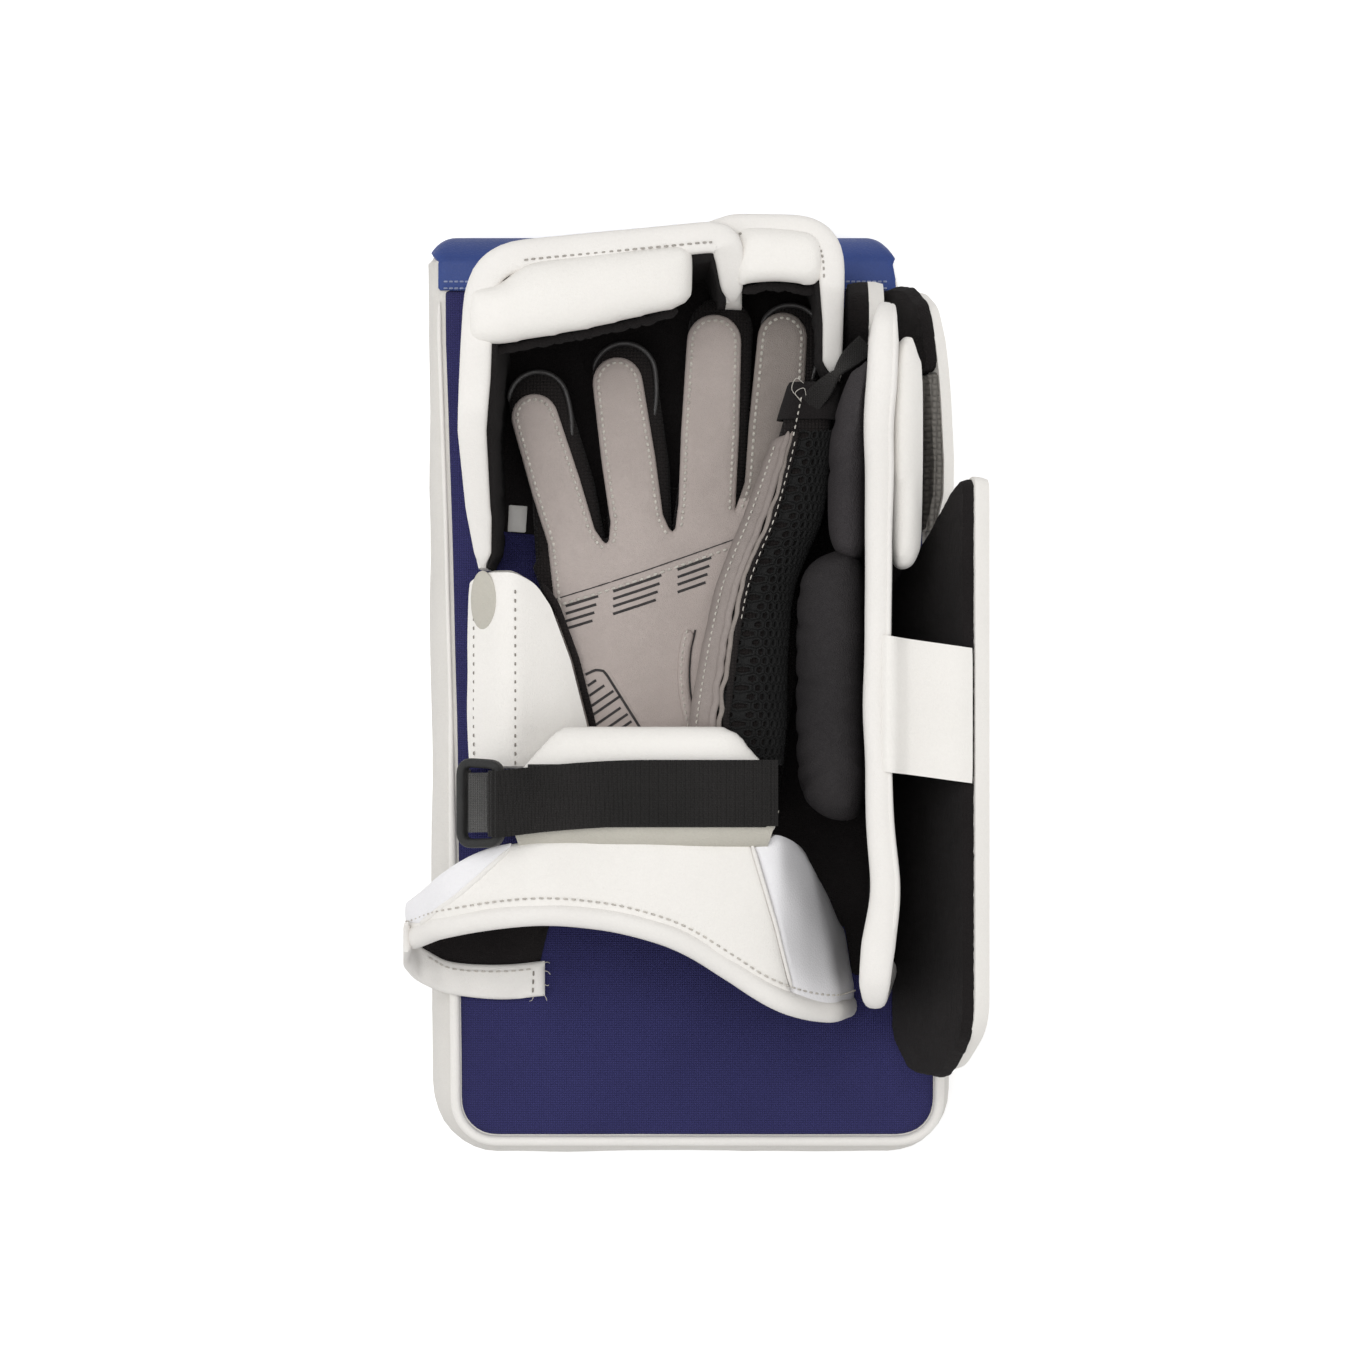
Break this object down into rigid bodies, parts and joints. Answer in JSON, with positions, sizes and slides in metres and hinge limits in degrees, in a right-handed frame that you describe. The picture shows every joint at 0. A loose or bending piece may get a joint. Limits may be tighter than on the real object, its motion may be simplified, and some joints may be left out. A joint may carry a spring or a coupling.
{
  "type": "goalie blocker glove",
  "caption": "Right-hand goalie blocker: padded rectangular board with a glove on its back, finger guards, thumb wing, wrist strap and cuff.",
  "frame": {"origin": "centre of the board's flat front face, on which the blocker lies", "axes": "+Z from the front face up to the palm, +Y to the fingertips along the board, +X to the thumb side"},
  "size_m": [0.2358, 0.3818, 0.1098],
  "materials": {
    "white_leather": "white grained synthetic leather",
    "white_binding": "smooth white synthetic binding",
    "blue_leather": "bright blue grained synthetic leather",
    "blue_nylon": "dark blue woven nylon",
    "foam": "closed-cell foam",
    "stiffener": "polyethylene sheet",
    "grey_leather": "warm grey suede palm",
    "black_knit": "black stretch knit",
    "black_mesh": "black spacer mesh",
    "black_lining": "black brushed lining",
    "black_leather": "charcoal grained synthetic leather",
    "black_webbing": "black ribbed webbing",
    "black_plastic": "black moulded plastic"
  },
  "bodies": {
    "board": {"board_back_foam": "foam", "board_back_panel": "blue_nylon", "board_front_cover": "white_leather", "board_front_foam": "foam", "board_piping": "white_binding", "board_side_wall": "white_leather", "board_stiffener": "stiffener", "board_top_panel": "blue_leather", "buckle_anchor": "black_webbing", "cuff_binding": "white_binding", "cuff_front_panel": "white_leather", "cuff_lining": "black_lining", "cuff_return": "white_leather", "cuff_side_panel": "white_leather", "finger_guard_binding": "white_binding", "finger_guard_cover": "white_leather", "finger_guard_foam": "foam", "finger_guard_lining": "black_lining", "finger_guard_roll": "white_leather", "glove_back": "black_knit", "glove_palm": "grey_leather", "hand_back_pad": "black_lining", "heel_panel": "white_leather", "index_guard_binding": "white_binding", "index_guard_cover": "white_leather", "index_guard_foam": "foam", "index_guard_lining": "black_lining", "index_guard_roll": "white_leather", "palm_patch": "grey_leather", "strap_base": "black_webbing", "thumb_side_wall": "white_leather", "wing_seam_strip": "black_webbing", "wrist_pad": "white_leather"},
    "little_finger": {"little_finger_sleeve": "black_knit", "little_finger_pad": "grey_leather"},
    "ring_finger": {"ring_finger_sleeve": "black_knit", "ring_finger_pad": "grey_leather"},
    "middle_finger": {"middle_finger_sleeve": "black_knit", "middle_finger_pad": "grey_leather"},
    "index_finger": {"index_tip_sleeve": "black_knit", "index_tip_pad": "grey_leather"},
    "thumb": {"thumb_strip": "grey_leather", "thumb_mesh": "black_mesh", "thumb_tip_tab": "black_webbing", "thumb_loop": "black_webbing"},
    "thumb_guard": {"thumb_guard_plate": "white_leather", "thumb_guard_lining": "black_lining", "thumb_guard_binding": "white_binding", "thumb_guard_upper_pad": "black_leather", "thumb_guard_lower_pad": "black_leather", "thumb_guard_outer_panel": "white_leather", "lower_side_panel_cover": "white_leather", "lower_side_panel_lining": "black_lining", "link_strap": "white_leather"},
    "upper_panel": {"upper_side_panel_cover": "white_leather", "upper_side_panel_lining": "black_lining"},
    "buckle": {"strap_buckle": "black_plastic"},
    "strap": {"strap_tab": "black_webbing"}
  },
  "joints": [
    {"name": "little_curl", "type": "hinge", "parent": "board", "child": "little_finger", "pos_m": [-0.0466, 0.054, 0.056], "axis": [0.9563, 0.2924, 0], "range_deg": [0, 65]},
    {"name": "ring_curl", "type": "hinge", "parent": "board", "child": "ring_finger", "pos_m": [-0.0213, 0.061, 0.056], "axis": [0.9903, 0.1392, 0], "range_deg": [0, 65]},
    {"name": "middle_curl", "type": "hinge", "parent": "board", "child": "middle_finger", "pos_m": [0.005, 0.067, 0.056], "axis": [0.999, -0.0436, 0], "range_deg": [0, 65]},
    {"name": "index_curl", "type": "hinge", "parent": "board", "child": "index_finger", "pos_m": [0.03544, 0.12383, 0.056], "axis": [0.9969, -0.0785, 0], "range_deg": [0, 45]},
    {"name": "thumb_guard_flex", "type": "hinge", "parent": "board", "child": "thumb_guard", "pos_m": [0.088, 0, 0.0317], "axis": [0, 1, 0], "range_deg": [0, 12], "stiffness_Nm_per_rad": 4, "deforming": ["thumb_loop"]},
    {"name": "thumb_swing", "type": "hinge", "parent": "board", "child": "thumb", "pos_m": [0.019, -0.012, 0.0577], "axis": [0, 0, 1], "range_deg": [-3.6, 0]},
    {"name": "upper_panel_flex", "type": "hinge", "parent": "board", "child": "upper_panel", "pos_m": [0.09245, 0.12933, 0.0325], "axis": [-0.1797, 0.9837, 0], "range_deg": [0, 15], "stiffness_Nm_per_rad": 1},
    {"name": "buckle_swing", "type": "hinge", "parent": "board", "child": "buckle", "pos_m": [-0.09259, -0.043, 0.09023], "axis": [0, -1, 0], "range_deg": [0, 30]},
    {"name": "strap_peel", "type": "hinge", "parent": "buckle", "child": "strap", "pos_m": [-0.077, -0.043, 0.09923], "axis": [0, -1, 0], "range_deg": [0, 110]}
  ],
  "couplings": [
    {"joint": "thumb_swing", "follows": "thumb_guard_flex", "ratio": -0.3}
  ]
}
